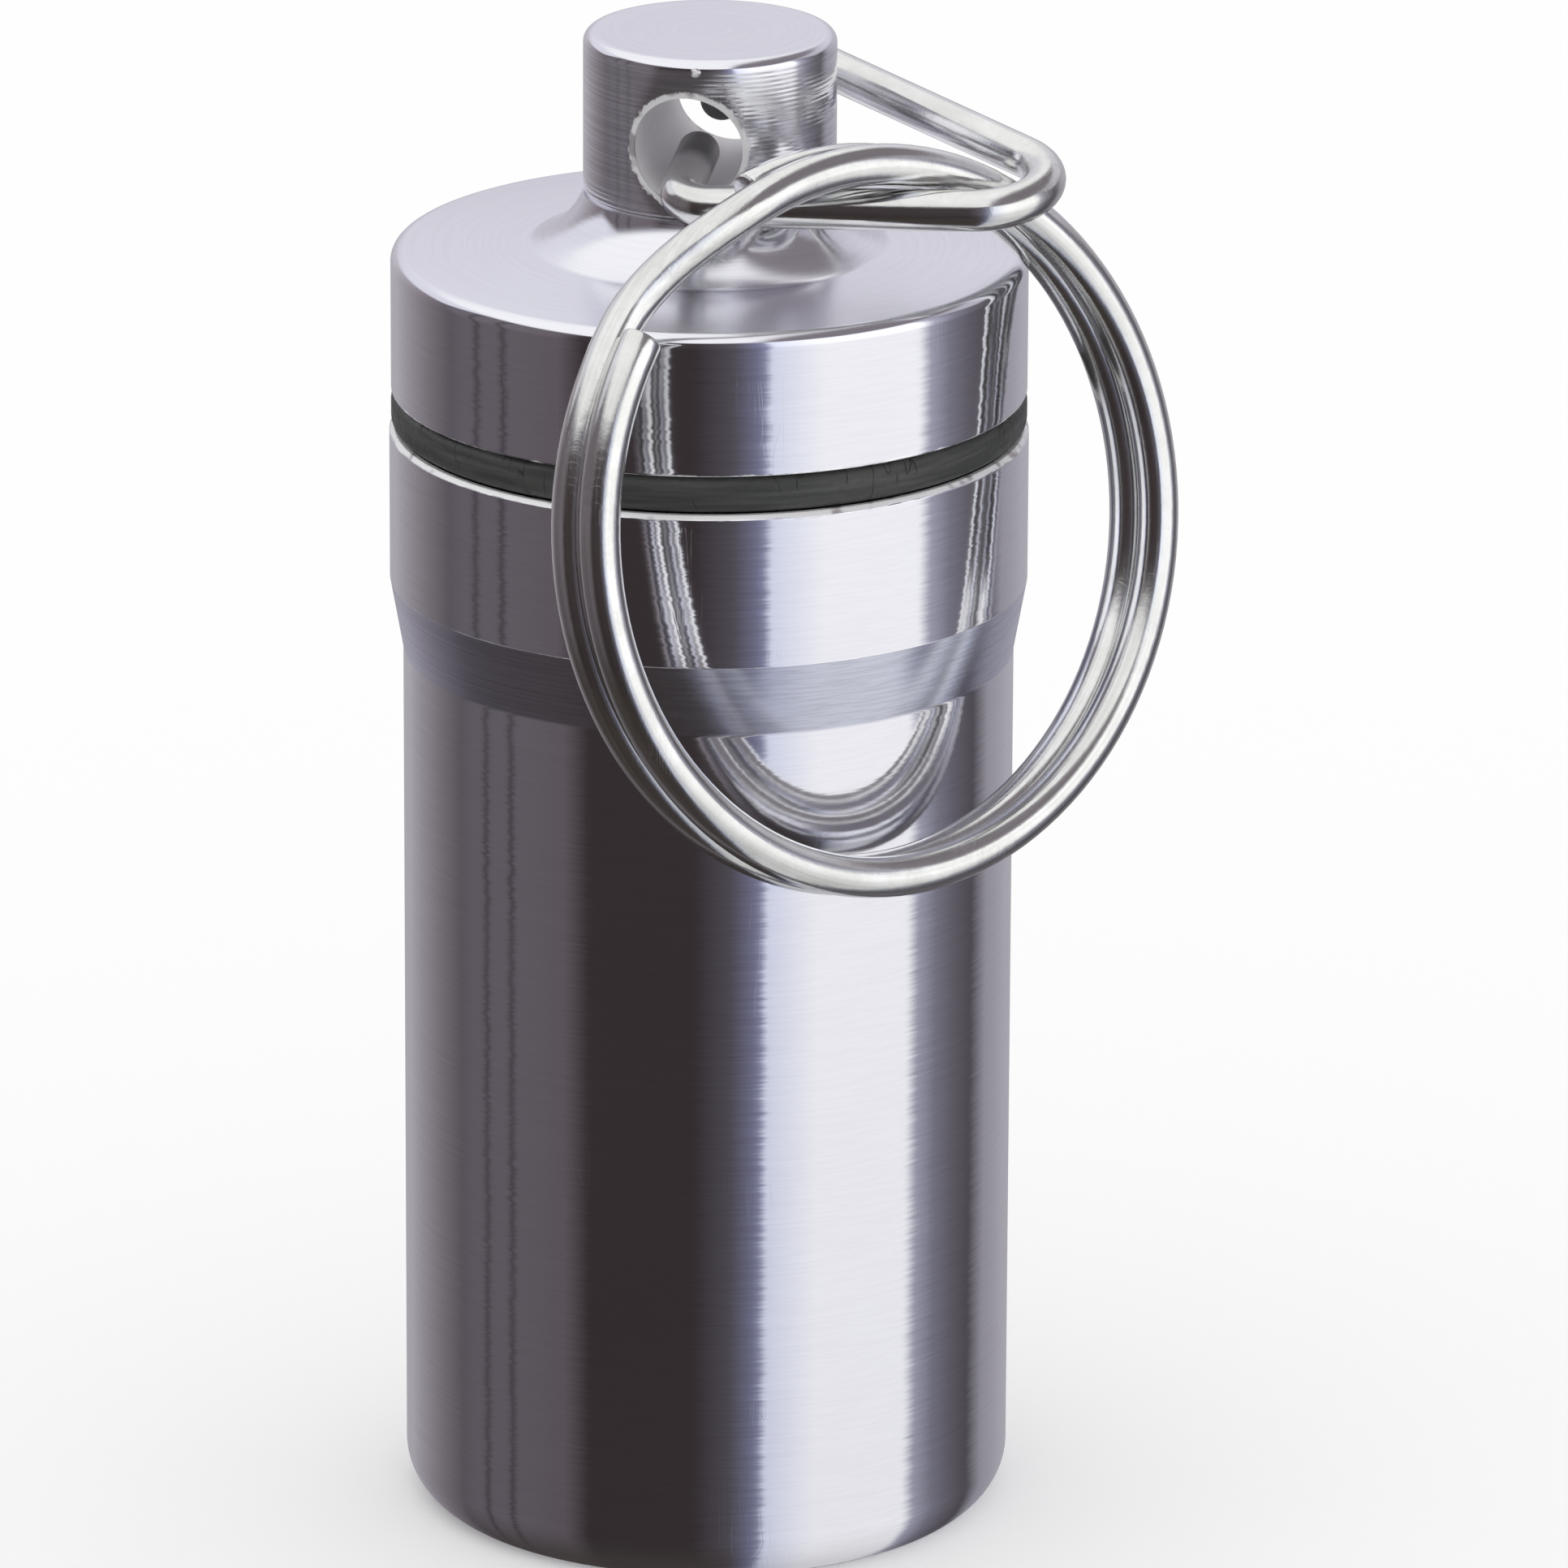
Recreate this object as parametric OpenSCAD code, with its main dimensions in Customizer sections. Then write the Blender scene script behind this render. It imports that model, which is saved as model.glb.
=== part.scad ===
// Keychain capsule: a small screw-top tube that hangs from a split ring.
// Millimetres. The tube stands on z = 0 and its long axis is Z.
// The cross hole of the knob runs along Y, and the wire link reaches out along +X.

/* [Tube] */
// Outside diameter of the long body
body_d = 16.3; // [12:0.1:30]
// How much the collar stands out all round
collar_step = 0.35; // [0.1:0.05:1]
// Height of the tube, from its flat foot to its mouth
tube_h = 29.9; // [20:0.1:80]
// Height of the collar's straight band
collar_h = 4.15; // [2:0.05:8]
// Height of the taper between the collar and the body
taper_h = 1.95; // [0.5:0.05:5]
// Radius of the arc that turns the body under to its foot
foot_round = 1.5; // [0.8:0.1:5]
// How far the foot draws in from the body all round
foot_inset = 0.65; // [0.2:0.05:0.8]
// Wall of the body
wall = 1.4; // [0.8:0.05:2]
// Wall of the collar outside the thread
collar_wall = 1; // [0.6:0.05:1.4]
// Thickness of the floor
floor_t = 1.6; // [0.8:0.1:4]
// Radius in the corner of the floor
floor_fillet = 1; // [0.2:0.1:3]
// Bright chamfer on the outer edge of the mouth
mouth_chamfer = 0.12; // [0.05:0.01:0.3]
// Lead-in chamfer inside the mouth
lead_in = 0.25; // [0.1:0.05:0.5]

/* [Seal] */
// Gap between tube and cap that the squeezed O-ring fills
seal_h = 1.05; // [0.6:0.05:2]
// Corner radius of the squeezed O-ring
seal_round = 0.3; // [0.1:0.05:0.4]
// Gap between the O-ring and each face that it seals
seal_gap = 0.03; // [0.02:0.01:0.05]

/* [Cap] */
// How far the cap's rim stands back from the collar
rim_back = 0.05; // [0:0.01:0.3]
// Straight height of the cap's side
rim_h = 3.45; // [2:0.05:8]
// Radius of the cap's top edge
rim_round = 0.35; // [0.1:0.05:1]
// Rise of the cap's top face, from its edge to the fillet
crown = 0.18; // [0:0.01:1]
// Radius of the fillet that leads up to the knob
fillet = 1.4; // [0.5:0.1:3]
// Length of the plug below the cap's underside
plug_len = 5.95; // [3:0.05:10]
// Height of the plain neck that guides the cap in the mouth
neck_h = 1; // [0.5:0.05:2]
// Running clearance of the neck in the mouth, all round
neck_gap = 0.05; // [0.02:0.01:0.1]
// Depth of the thread that is cut into the plug
thread_depth = 0.55; // [0.3:0.05:0.8]
// Diameter of the hollow in the plug
hollow_d = 10.4; // [4:0.1:11]
// Solid metal between the hollow and the fillet's foot
roof_t = 2.6; // [1:0.1:5]
// Chamfer on the end of the plug
plug_chamfer = 0.4; // [0.1:0.05:0.6]

/* [Knob] */
// Diameter of the knob
knob_d = 6.7; // [5:0.1:12]
// Height of the knob above its fillet
knob_h = 4.37; // [3.6:0.05:8]
// Radius of the knob's top edge
knob_round = 0.3; // [0.1:0.05:1]
// Diameter of the cross hole
hole_d = 2.9; // [2:0.1:4]
// Height of the cross hole's centre above the fillet
hole_up = 1.94; // [1.8:0.01:4]
// Depth of the tool mark at the foot of the knob
mark_depth = 0.08; // [0.02:0.01:0.2]
// Height of the tool mark
mark_h = 0.12; // [0.05:0.01:0.3]

/* [Link] */
// Wire diameter of the link
link_wire = 1.1; // [0.8:0.05:1.4]
// Straight wire between the knob and each bend
hook_out = 0.64; // [0.3:0.02:2]
// Extra straight wire on the far side
far_out = 0.3; // [0:0.02:1]
// Length of wire that each hook pushes into the knob
hook_in = 1.95; // [1:0.05:2.8]
// Centre-line radius of the two bends beside the knob
hook_bend = 0.8; // [0.7:0.05:2]
// Centre-line radius of the bend at the tip
tip_bend = 1.9; // [1:0.1:2.6]
// How far the tip's centre line reaches past the cap's rim
tip_past = 0.84; // [0.5:0.1:6]
// How far the near leg draws in on its way to the tip
leg_draw = 0.78; // [0:0.02:1.5]
// How far the hooks lie below the centre of the loose cross hole
wire_low = 0.18; // [0:0.01:0.3]
// Tilt of the hooks in the cross hole, front end down
link_tilt = 10.2; // [0:0.1:11]
// Droop of the link's tip below level
link_droop = 0.9; // [0:0.1:4]

/* [Split ring] */
// Outside diameter of the split ring
ring_d = 19.7; // [19:0.1:30]
// Wire diameter of the split ring
ring_wire = 1.1; // [0.8:0.05:1.3]
// Gap between the two turns that lie side by side
turn_gap = 0.06; // [0.04:0.01:0.3]
// Arc between the wire's two ends, in which it changes sides
cross_arc = 35; // [25:1:60]
// Place of the front end round the ring
front_end = 139; // [100:1:170]
// Gap between the ring and the leg of the link that it hangs on
hang_gap = 0.09; // [0.05:0.01:0.2]
// How far inside the cap's rim the ring hangs
hang_in = 3.2; // [2.9:0.05:3.3]
// Direction that the ring's face looks to, from +X
ring_turn = -40.5; // [-42:0.1:-39]
// How far the ring's face looks up
ring_lean = 11.6; // [10:0.1:14]
// How far the ring has swung past its hanging point
ring_roll = 10.8; // [8:0.1:12]

/* [Hidden] */
$fn = 96;
// Cuts run this far past the face that they open.
past = 1;
// Straight wires run this far into the bends, which are fuller than they are by the swell all round.
join = 0.05;
swell = 0.01;

// Heights up the long axis.
cap_z = tube_h + seal_h;
rim_z = cap_z + rim_h;
face_z = rim_z + rim_round;
fillet_z = face_z + crown;
knob_z = fillet_z + fillet;
top_z = knob_z + knob_h;
hole_z = knob_z + hole_up;
wire_z = hole_z - wire_low;

// Radii of the turned pieces.
body_r = body_d / 2;
collar_r = body_r + collar_step;
foot_r = body_r - foot_inset;
bore_r = body_r - wall;
mouth_r = collar_r - collar_wall;
rim_r = collar_r - rim_back;
neck_r = mouth_r - neck_gap;
root_r = neck_r - thread_depth;
hollow_r = hollow_d / 2;
knob_r = knob_d / 2;
fillet_r = knob_r + fillet;

// The foot's arc starts at this height, level with its centre.
foot_arc_z = sqrt(pow(foot_round, 2) - pow(foot_round - foot_inset, 2));

// The threaded bore runs this far past the end of the plug.
run_out = 0.8;
mouth_depth = plug_len - seal_h + run_out;

// Link, in its own plane: x runs out to the tip, y runs along the hooks.
hook_y = knob_r + hook_out;
hook_end = knob_r - hook_in;
near_bend = [hook_bend, -hook_y];
far_y = hook_y + far_out;
far_bend = [hook_bend, far_y];
tip = [rim_r + tip_past - tip_bend, -(hook_y + hook_bend - leg_draw - tip_bend)];

// A leg touches a hook's bend and the tip's bend. This is its direction.
function leg_angle(bend, side) =
    let (reach = tip - bend)
    atan2(reach.y, reach.x) + side * asin((tip_bend - hook_bend) / norm(reach));
near_angle = leg_angle(near_bend, -1);
far_angle = leg_angle(far_bend, 1);
near_normal = [sin(near_angle), -cos(near_angle)];
far_normal = [-sin(far_angle), cos(far_angle)];

// Points of the link's plane, turned into the frame of the whole part.
function tilt_x(p, a) = [p.x, p.y * cos(a) - p.z * sin(a), p.y * sin(a) + p.z * cos(a)];
function tilt_y(p, a) = [p.x * cos(a) + p.z * sin(a), p.y, p.z * cos(a) - p.x * sin(a)];
function from_link(p) = [0, 0, wire_z] + tilt_x(tilt_y([p.x, p.y, 0], link_droop), link_tilt);

// The ring hangs where the near leg passes this point.
leg_start = near_bend + hook_bend * near_normal;
hang_x = rim_r - hang_in;
hang_point = from_link(leg_start + (hang_x - leg_start.x) * [1, tan(near_angle)]);

// Split ring: its face looks along face_dir, and up_dir and side_dir lie in its plane.
ring_r = ring_d / 2;
turn_r = ring_r - ring_wire / 2;
turn_step = ring_wire + turn_gap;
face_dir = [cos(ring_lean) * cos(ring_turn), cos(ring_lean) * sin(ring_turn), sin(ring_lean)];
up_dir = [-sin(ring_lean) * cos(ring_turn), -sin(ring_lean) * sin(ring_turn), cos(ring_lean)];
side_dir = cross(up_dir, face_dir);
hang_dir = cos(ring_roll) * up_dir + sin(ring_roll) * side_dir;
eye_r = ring_r - ring_wire;
ring_centre = hang_point - hang_dir * (eye_r - link_wire / 2 - hang_gap);

// The wire of the split ring makes two turns, less the arc between its ends.
wire_turn = 720 - cross_arc;
wire_steps = 120;
wire_sides = 12;
// The wire changes sides a little inside the arc between its ends.
cross_from = 360 - cross_arc + 2;
cross_to = 360 - 2;

// Share of the change of sides that is done at angle a along the wire.
function crossed(a) =
    let (s = min(1, max(0, (a - cross_from) / (cross_to - cross_from))))
    s * s * (3 - 2 * s);
function ring_path(a) = [
    turn_r * cos(front_end + a),
    turn_r * sin(front_end + a),
    turn_step * (0.5 - crossed(a))
];
function unit(v) = v / norm(v);
function ring_section(a) =
    let (here = ring_path(a))
    let (along = unit(ring_path(a + 0.5) - ring_path(a - 0.5)))
    let (out = [cos(front_end + a), sin(front_end + a), 0])
    let (up = unit(cross(along, out)))
    [for (i = [0 : wire_sides - 1])
        let (b = 360 * i / wire_sides)
        here + ring_wire / 2 * (cos(b) * out + sin(b) * up)];

// Least distance between the surfaces of the two turns, away from each other along the wire.
gap_step = 3;
turn_clear = min([for (a = [0 : gap_step : wire_turn - 180])
    for (b = [a + 180 : gap_step : wire_turn]) norm(ring_path(a) - ring_path(b))]) - ring_wire;
echo(str("Least gap between the turns of the split ring: ", turn_clear, " mm"));

// A solid of revolution has its profile in x and z, given here as x and y.

module foot_profile() {
    intersection() {
        translate([body_r - foot_round, foot_arc_z])
            circle(foot_round);
        square([body_r, foot_arc_z]);
    }
    square([body_r - foot_round, foot_arc_z]);
}

module tube_outside() {
    collar_z = tube_h - collar_h;
    foot_profile();
    polygon([
        [0, foot_arc_z],
        [body_r, foot_arc_z],
        [body_r, collar_z - taper_h],
        [collar_r, collar_z],
        [collar_r, tube_h - mouth_chamfer],
        [collar_r - mouth_chamfer, tube_h],
        [0, tube_h]
    ]);
}

module tube_inside() {
    // The bore, with a fillet in the corner of the floor
    translate([0, floor_t + floor_fillet])
        square([bore_r, tube_h]);
    translate([0, floor_t])
        square([bore_r - floor_fillet, tube_h]);
    translate([bore_r - floor_fillet, floor_t + floor_fillet])
        circle(floor_fillet);
    // The wider bore that takes the plug's thread
    translate([0, tube_h - mouth_depth])
        square([mouth_r, tube_h]);
    // The lead-in at the mouth
    polygon([
        [0, tube_h - lead_in],
        [mouth_r, tube_h - lead_in],
        [mouth_r + lead_in + past, tube_h + past],
        [0, tube_h + past]
    ]);
}

module tube() {
    color([0.78, 0.77, 0.82])
        rotate_extrude()
            intersection() {
                difference() {
                    tube_outside();
                    tube_inside();
                }
                square([collar_r + past, tube_h + past]);
            }
}

module o_ring() {
    inner = neck_r + seal_gap;
    width = rim_r - inner;
    height = seal_h - 2 * seal_gap;
    color([0.2, 0.2, 0.2])
        translate([0, 0, tube_h + seal_gap])
            rotate_extrude()
                translate([inner, 0]) {
                    translate([seal_round, 0])
                        square([width - 2 * seal_round, height]);
                    translate([0, seal_round])
                        square([width, height - 2 * seal_round]);
                    for (x = [seal_round, width - seal_round], y = [seal_round, height - seal_round])
                        translate([x, y])
                            circle(seal_round);
                }
}

module rim_profile() {
    translate([0, cap_z])
        square([rim_r, rim_h]);
    translate([rim_r - rim_round, rim_z])
        circle(rim_round);
    polygon([
        [0, rim_z],
        [rim_r - rim_round, rim_z],
        [rim_r - rim_round, face_z],
        [fillet_r, fillet_z],
        [0, fillet_z]
    ]);
}

module knob_profile() {
    // The fillet between the cap's face and the knob
    difference() {
        translate([0, fillet_z])
            square([fillet_r, fillet]);
        translate([fillet_r, knob_z])
            circle(fillet);
    }
    // The tool mark at the foot of the knob, then the knob
    translate([0, knob_z])
        square([knob_r - mark_depth, mark_h]);
    translate([0, knob_z + mark_h])
        square([knob_r, knob_h - mark_h - knob_round]);
    translate([knob_r - knob_round, top_z - knob_round])
        circle(knob_round);
    translate([0, top_z - knob_round])
        square([knob_r - knob_round, knob_round]);
}

module plug_profile() {
    plug_z = cap_z - plug_len;
    translate([0, cap_z - seal_h - neck_h])
        square([neck_r, seal_h + neck_h]);
    polygon([
        [0, plug_z],
        [root_r - plug_chamfer, plug_z],
        [root_r, plug_z + plug_chamfer],
        [root_r, cap_z],
        [0, cap_z]
    ]);
}

module cap() {
    hollow_top = fillet_z - roof_t;
    plug_z = cap_z - plug_len;
    color([0.78, 0.77, 0.82])
        difference() {
            rotate_extrude()
                difference() {
                    union() {
                        rim_profile();
                        knob_profile();
                        plug_profile();
                    }
                    translate([0, plug_z - past])
                        square([hollow_r, hollow_top - plug_z + past]);
                }
            translate([0, 0, hole_z])
                rotate([90, 0, 0])
                    cylinder(h = 2 * (knob_r + past), d = hole_d, center = true);
        }
}

// Straight wire between two points of the link's plane, let a little way into the bends beside it.
module wire_run(from, to) {
    reach = to - from;
    translate([from.x, from.y, 0])
        rotate([0, 90, atan2(reach.y, reach.x)])
            translate([0, 0, -join])
                cylinder(h = norm(reach) + 2 * join, d = link_wire);
}

// Bent wire round a centre, counter-clockwise from one angle to another.
module wire_bend(centre, radius, from, to) {
    translate([centre.x, centre.y, 0])
        rotate([0, 0, from])
            rotate_extrude(angle = to - from)
                translate([radius, 0])
                    circle(d = link_wire + 2 * swell);
}

module link() {
    near_leg_end = tip + tip_bend * near_normal;
    far_leg_end = tip + tip_bend * far_normal;
    $fn = 48;
    color([0.72, 0.72, 0.7])
        translate([0, 0, wire_z])
            rotate([link_tilt, 0, 0])
                rotate([0, link_droop, 0]) {
                    wire_run([0, -hook_end], [0, -hook_y]);
                    wire_bend(near_bend, hook_bend, 180, 270 + near_angle);
                    wire_run(leg_start, near_leg_end);
                    wire_bend(tip, tip_bend, near_angle - 90, far_angle + 90);
                    wire_run(far_leg_end, far_bend + hook_bend * far_normal);
                    wire_bend(far_bend, hook_bend, far_angle + 90, 180);
                    wire_run([0, far_y], [0, hook_end]);
                }
}

module split_ring() {
    points = [for (k = [0 : wire_steps]) each ring_section(wire_turn * k / wire_steps)];
    last = wire_steps * wire_sides;
    skin = [for (k = [0 : wire_steps - 1], i = [0 : wire_sides - 1])
        let (a = k * wire_sides + i)
        let (b = k * wire_sides + (i + 1) % wire_sides)
        each [[a, b, a + wire_sides], [b, b + wire_sides, a + wire_sides]]];
    front = [for (i = [1 : wire_sides - 2]) [0, i + 1, i]];
    back = [for (i = [1 : wire_sides - 2]) [last, last + i, last + i + 1]];
    color([0.72, 0.72, 0.7])
        translate(ring_centre)
            rotate([0, 90 - ring_lean, ring_turn])
                rotate([0, 0, 90])
                    polyhedron(points, concat(skin, front, back));
}

tube();
o_ring();
cap();
link();
split_ring();
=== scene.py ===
"""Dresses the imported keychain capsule: aluminium tube and cap, rubber seal, link and split ring.

Sizes are in metres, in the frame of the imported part: Z up, the flat foot of the tube at Z = 0.
"""

import math

import bpy
from mathutils import Matrix, Vector


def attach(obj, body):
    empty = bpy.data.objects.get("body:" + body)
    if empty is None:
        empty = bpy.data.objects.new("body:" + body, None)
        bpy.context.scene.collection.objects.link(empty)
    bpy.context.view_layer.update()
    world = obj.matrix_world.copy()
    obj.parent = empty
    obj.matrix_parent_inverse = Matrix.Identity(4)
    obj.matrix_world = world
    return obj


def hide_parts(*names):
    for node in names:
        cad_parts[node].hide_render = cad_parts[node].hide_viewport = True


bl_info = {
    "name": "Keychain Capsule",
    "version": (1, 0, 0),
    "blender": (4, 5, 0),
    "location": "3D Viewport > Sidebar > Capsule",
    "description": "Models and finishes a turned keychain capsule with its link and split ring",
    "category": "Object",
}

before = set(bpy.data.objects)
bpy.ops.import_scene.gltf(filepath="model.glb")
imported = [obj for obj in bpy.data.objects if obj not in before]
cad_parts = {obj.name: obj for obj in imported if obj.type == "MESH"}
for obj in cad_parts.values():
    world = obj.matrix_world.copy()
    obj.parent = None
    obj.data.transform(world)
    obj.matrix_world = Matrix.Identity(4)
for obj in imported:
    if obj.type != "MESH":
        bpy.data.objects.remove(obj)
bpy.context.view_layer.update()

MM = 0.001

# Segments round the turned pieces and the wires, along an arc, and along half of the split ring.
TURN_STEPS = 160
WIRE_SIDES = 28
ARC_STEPS = 14
RING_STEPS = 118

# Vertices this near are one; flats are pinned this far from the round beside them.
DOUBLES = 1e-7
FLANK = 0.02 * MM

# Edge rounds that turning and polishing leave, and the bevel that deburring leaves.
EASED = 0.03 * MM
SOFTENED = 0.05 * MM
DEBURRED = 0.07 * MM

# The screw thread: how far its root is sunk in the wall, its depth and its turns.
THREAD_SUNK = 0.02 * MM
THREAD_DEPTH = 0.4 * MM
THREAD_TURNS = 3

# How the link's plane is turned, in degrees: hooks down at the front, tip down.
LINK_TILT = 10.2
LINK_DROOP = 0.9

# Where the split ring hangs, and where its face looks to, in degrees: round Z, and upwards.
RING_CENTRE = (5.480 * MM, -6.388 * MM, 29.448 * MM)
RING_TURN = -40.5
RING_LEAN = 11.6

# The ring's wire, in degrees round it: front end, whole length, and where it changes sides.
RING_FRONT_END = 139.0
RING_WIRE_TURN = 685.0
RING_CROSSING = (327.0, 358.0)
CROSSING_STEPS = 16

# The camera: its place in metres, its turns in radians and its lens in millimetres.
CAMERA_PLACE = (0.064718, -0.339014, 0.133226)
CAMERA_AZIMUTH = math.radians(10.808)
CAMERA_TILT = 0.3175
CAMERA_YAW = 0.0059
CAMERA_ROLL = 0.0047
CAMERA_LENS = 311.1

# Tones of the soft cards that the metal mirrors.
MAUVE = (0.136, 0.121, 0.135)
LINE = (0.058, 0.048, 0.055)
BLACK = (0.042, 0.033, 0.035)
BROWN = (0.056, 0.047, 0.042)
SHADE = (0.13, 0.12, 0.13)
DIM = (0.222, 0.201, 0.221)
WINDOW = (1.0, 1.0, 1.0)

# Tones of the brushed taper with its painted bluish reflection, of edge wear with its painted
# highlight, of the bored hole and of the seal's cracks.
BRUSHED_AND_PAINTED_REFLECTION = (0.71, 0.75, 0.93)
RUBBED_DARK = (0.45, 0.42, 0.44)
PAINTED_EDGE_HIGHLIGHT = (0.97, 0.97, 0.98)
BORED = (0.95, 0.93, 0.96)
CRACKED = (0.014, 0.014, 0.013)

# Cards near and below the horizon, then above it: degrees from the camera, tone.
LOW_CARDS = [
    (-180, (0.445, 0.430, 0.471)),
    (-155, (0.440, 0.420, 0.450)),
    (-122, (0.205, 0.180, 0.195)),
    (-108, (0.118, 0.104, 0.116)),
    (-100, MAUVE),
    (-95, MAUVE),
    (-93, LINE),
    (-91, MAUVE),
    (-82, MAUVE),
    (-80, LINE),
    (-78, MAUVE),
    (-56, (0.126, 0.107, 0.117)),
    (-46, BLACK),
    (-5, BLACK),
    (9, (0.089, 0.081, 0.094)),
    (17, (0.170, 0.171, 0.250)),
    (20, (0.245, 0.258, 0.365)),
    (22.5, (0.735, 0.765, 0.880)),
    (42, WINDOW),
    (82, WINDOW),
    (87, (0.380, 0.375, 0.455)),
    (97, (0.200, 0.195, 0.235)),
    (107, (0.135, 0.126, 0.146)),
    (120, (0.085, 0.078, 0.090)),
    (132, (0.330, 0.318, 0.352)),
    (155, (0.430, 0.415, 0.457)),
    (180, (0.445, 0.430, 0.471)),
]
HIGH_CARDS = [
    (-180, (0.765, 0.761, 0.820)),
    (-105, (0.765, 0.761, 0.820)),
    (-85, (0.533, 0.519, 0.565)),
    (-20, (0.267, 0.251, 0.283)),
    (60, (0.400, 0.385, 0.424)),
    (110, (0.489, 0.474, 0.518)),
    (155, (0.711, 0.698, 0.754)),
    (180, (0.765, 0.761, 0.820)),
]


# Sizes and colours.

def length(name, description, mm):
    return bpy.props.FloatProperty(
        name=name, description=description, default=mm * MM, unit="LENGTH", subtype="DISTANCE"
    )


def colour(name, description, rgb):
    return bpy.props.FloatVectorProperty(
        name=name, description=description, default=rgb, size=3, min=0, max=1, subtype="COLOR"
    )


def share(name, description, value):
    return bpy.props.FloatProperty(
        name=name, description=description, default=value, min=0, max=1
    )


class CAPSULE_PG_tube(bpy.types.PropertyGroup):
    """Sizes of the tube."""

    body_radius: length("Body radius", "Radius of the plain body", 8.15)
    collar_radius: length("Collar radius", "Radius of the collar at the mouth", 8.5)
    foot_radius: length("Foot radius", "Radius of the flat the tube stands on", 7.5)
    foot_round: length("Foot round", "Radius of the rounded foot edge", 1.5)
    bore_radius: length("Bore radius", "Radius of the storage bore", 6.75)
    mouth_radius: length("Mouth radius", "Radius of the threaded bore at the mouth", 7.5)
    floor: length("Floor", "Thickness of the floor", 1.6)
    taper_bottom: length("Taper bottom", "Height where the body starts to widen", 23.8)
    collar_bottom: length("Collar bottom", "Height where the collar starts", 25.75)
    thread_bottom: length("Thread bottom", "Height where the wider bore starts", 24.2)
    top: length("Top", "Height of the tube", 29.9)


class CAPSULE_PG_cap(bpy.types.PropertyGroup):
    """Sizes of the cap and of the seal below it."""

    bottom: length("Bottom", "Height of the underside of the cap's rim", 30.95)
    rim_radius: length("Rim radius", "Radius of the cap's rim", 8.45)
    rim_top: length("Rim top", "Height where the rim's face starts to round", 34.4)
    rim_round: length("Rim round", "Radius of the rim's upper edge", 0.35)
    crown: length("Crown", "Rise of the face from the rim to the fillet", 0.18)
    fillet: length("Flare", "Width and height of the flare at the foot of the knob", 1.4)
    flare_bend: length("Flare bend", "Radius of the flare's hollow curve", 2.4)
    knob_radius: length("Knob radius", "Radius of the knob", 3.35)
    top: length("Top", "Height of the knob", 40.7)
    hole_radius: length("Hole radius", "Radius of the cross hole", 1.45)
    hole_height: length("Hole height", "Height of the cross hole's axis", 38.27)
    plug_bottom: length("Plug bottom", "Height of the end of the plug", 25.0)
    root_radius: length("Root radius", "Radius of the plug at the root of its thread", 6.9)
    neck_radius: length("Neck radius", "Radius of the plain neck under the rim", 7.45)
    neck_bottom: length("Neck bottom", "Height of the lower end of the neck", 28.9)
    hollow_radius: length("Hollow radius", "Radius of the hollow in the plug", 5.2)
    hollow_top: length("Hollow top", "Height of the roof of the hollow", 32.33)
    seal_inner: length("Seal inner radius", "Inner radius of the rubber seal", 7.48)
    seal_gap: length("Seal gap", "Gap above and below the seal", 0.03)
    seal_round: length("Seal round", "Radius of the seal's edges", 0.3)
    pitch: length("Thread pitch", "Pitch of the screw thread", 1.0)


class CAPSULE_PG_wires(bpy.types.PropertyGroup):
    """Sizes of the link and of the split ring."""

    link_radius: length("Link wire radius", "Radius of the link's wire", 0.55)
    hook_reach: length("Hook end", "Distance of the hooks' ends from the middle plane", 1.4)
    near_hook: length("Near hook", "Distance of the near bend's centre from the middle plane", 3.99)
    far_hook: length("Far hook", "Distance of the far bend's centre from the middle plane", 4.29)
    hook_bend: length("Hook bend", "Bend radius of the hooks", 0.8)
    tip_bend: length("Tip bend", "Bend radius of the tip", 1.9)
    tip_x: length("Tip centre X", "Place of the tip bend's centre along the link", 7.39)
    tip_y: length("Tip centre Y", "Place of the tip bend's centre across the link", -2.11)
    link_height: length("Link height", "Height of the link's hooks", 38.09)
    ring_radius: length("Ring radius", "Radius of the split ring's centre line", 9.288)
    ring_wire: length("Ring wire radius", "Radius of the split ring's wire", 0.545)
    turn_step: length("Turn step", "Distance between the ring's two turns", 1.16)


class CAPSULE_PG_finish(bpy.types.PropertyGroup):
    """Colours and finishes."""

    aluminium: colour("Aluminium", "Colour of the polished aluminium", (0.90, 0.91, 0.955))
    steel: colour("Steel", "Colour of the steel wire", (0.872, 0.877, 0.868))
    rubber: colour("Rubber", "Colour of the seal", (0.034, 0.036, 0.034))
    polish: share("Polish", "Roughness of the turned walls", 0.073)
    faces: share("Faces", "Roughness of the level faces", 0.26)
    sway: share("Sway", "Sideways lean of the turning marks", 0.036)
    drawn: share("Plated wire", "Roughness of the steel wire", 0.16)


# Modelling helpers.

def only_object_mode():
    if bpy.context.object is not None and bpy.context.object.mode != "OBJECT":
        bpy.ops.object.mode_set(mode="OBJECT")
    bpy.ops.object.select_all(action="DESELECT")


def make_active(piece):
    only_object_mode()
    piece.select_set(True)
    bpy.context.view_layer.objects.active = piece


def edit(kind, action="SELECT"):
    """Goes to edit mode, to vertices, edges or faces, and selects all of them or none."""
    bpy.ops.object.mode_set(mode="EDIT")
    bpy.ops.mesh.select_mode(type=kind)
    bpy.ops.mesh.select_all(action=action)


def start_point(name, point):
    """One vertex at a point, in edit mode, selected: a plane merged at its centre."""
    only_object_mode()
    bpy.ops.mesh.primitive_plane_add(size=MM, location=(0, 0, 0))
    piece = bpy.context.object
    piece.name = piece.data.name = name
    edit("VERT")
    bpy.ops.mesh.merge(type="CENTER")
    bpy.ops.transform.translate(value=point)
    return piece


def extrude_to(here, there):
    step = Vector(there) - Vector(here)
    bpy.ops.mesh.extrude_vertices_move(TRANSFORM_OT_translate={"value": step})


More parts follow.
